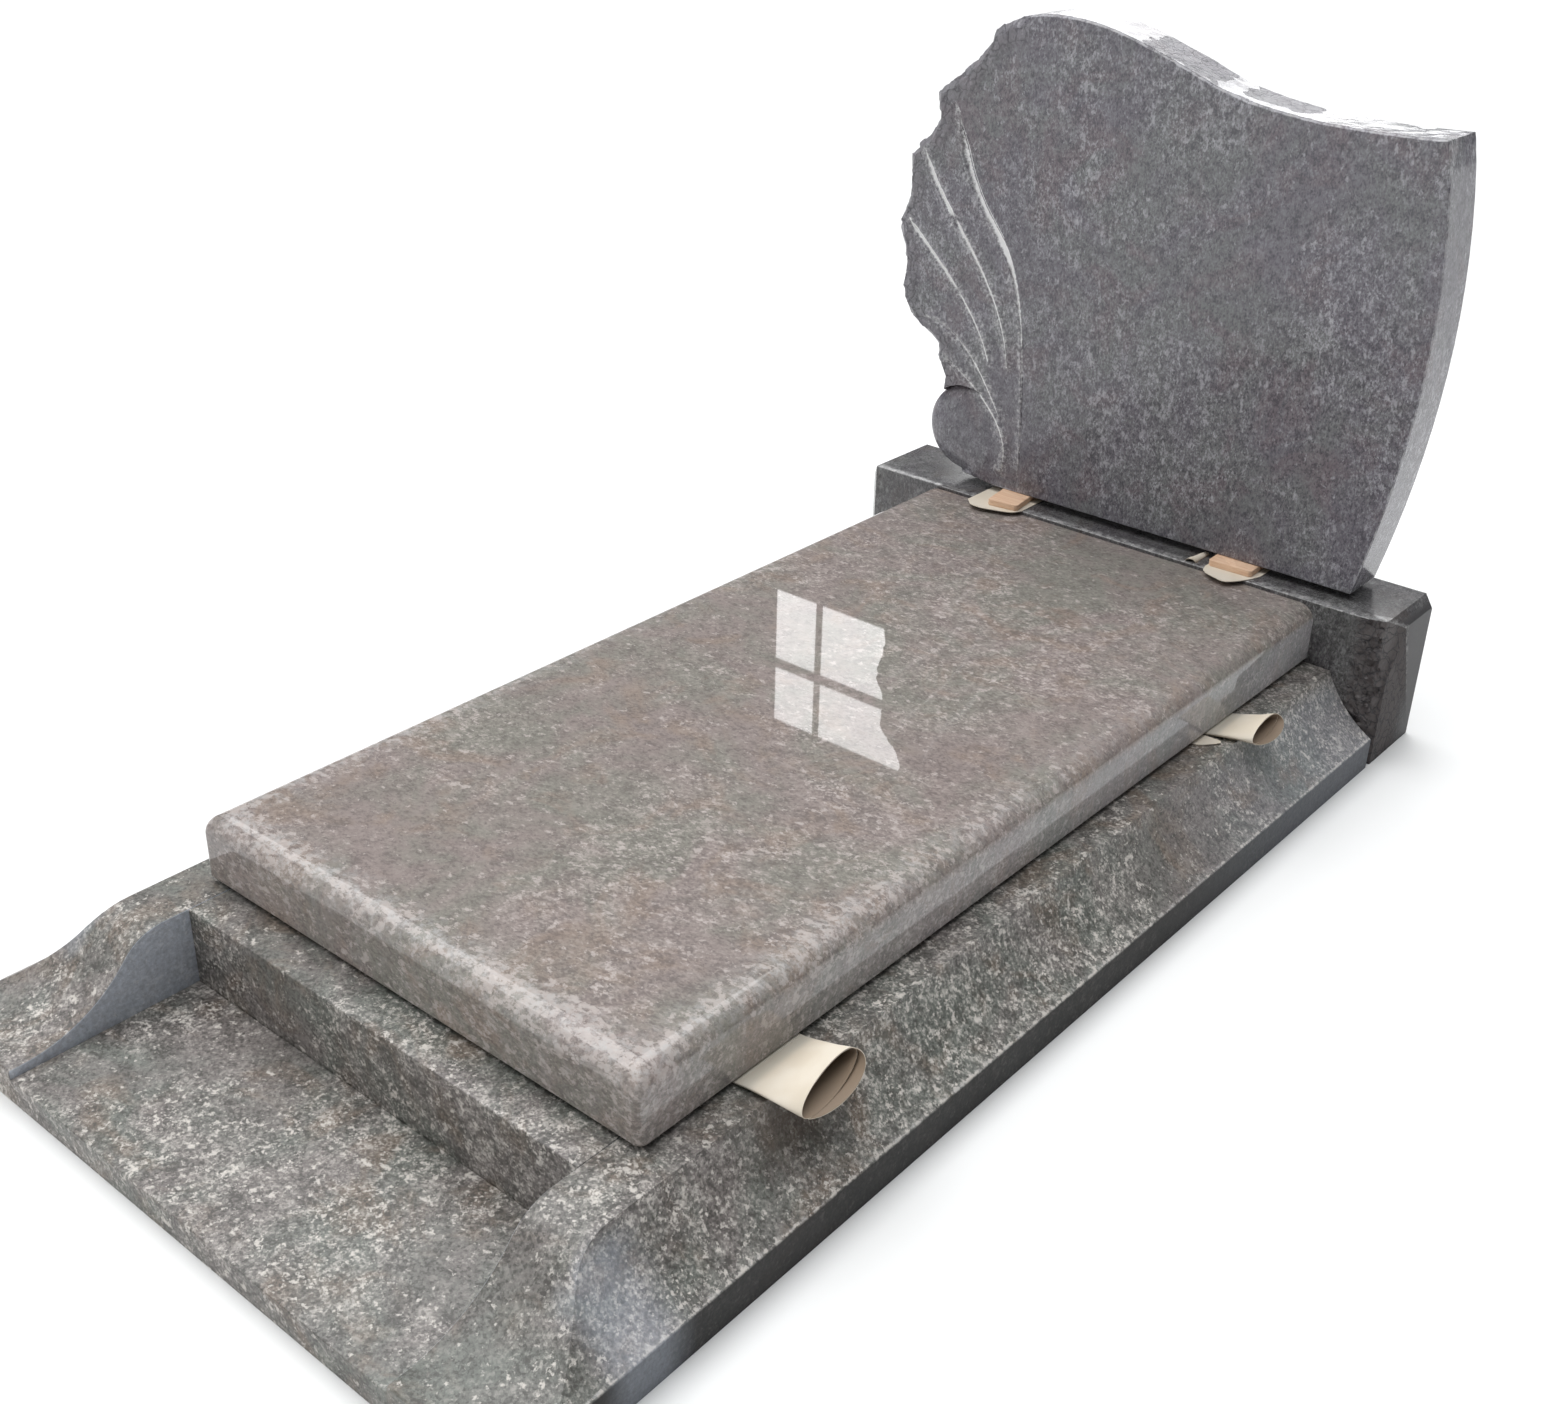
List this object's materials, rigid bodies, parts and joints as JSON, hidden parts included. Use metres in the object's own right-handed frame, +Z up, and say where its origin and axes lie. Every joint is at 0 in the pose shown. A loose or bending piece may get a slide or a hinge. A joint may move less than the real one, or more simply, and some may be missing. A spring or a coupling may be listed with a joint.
{
  "type": "grave monument with headstone",
  "caption": "Granite grave monument: headstone with a pitched edge and carved rays on a plinth, with a ledger slab on a kerb frame with a low foot apron.",
  "frame": {"origin": "on the ground, at the centre of the monument's footprint", "axes": "+Z up, +Y from the foot of the grave to the headstone, +X to the right as seen from the foot"},
  "size_m": [1, 1.973, 1.0454],
  "materials": {
    "polished_granite": "polished brown-mauve speckled granite",
    "dark_granite": "smooth dark grey-violet speckled granite, pitched and unpolished at the left edge",
    "honed_granite": "honed speckled grey-brown granite",
    "pine_block": "sawn bare wood",
    "cream_card": "plain cream card, matt"
  },
  "bodies": {
    "root": {"headstone": "dark_granite", "plinth": "dark_granite", "ledger_slab": "polished_granite", "kerb_left": "honed_granite", "kerb_right": "honed_granite", "foot_riser": "honed_granite", "foot_apron": "honed_granite", "headstone_block_left": "pine_block", "headstone_block_right": "pine_block", "headstone_card_left": "cream_card", "headstone_card_right": "cream_card", "headstone_card_scrap": "cream_card", "slab_roll_right_foot": "cream_card", "slab_roll_right_head": "cream_card", "slab_roll_left_foot": "cream_card", "slab_roll_left_head": "cream_card", "slab_card_flap": "cream_card"}
  },
  "joints": []
}
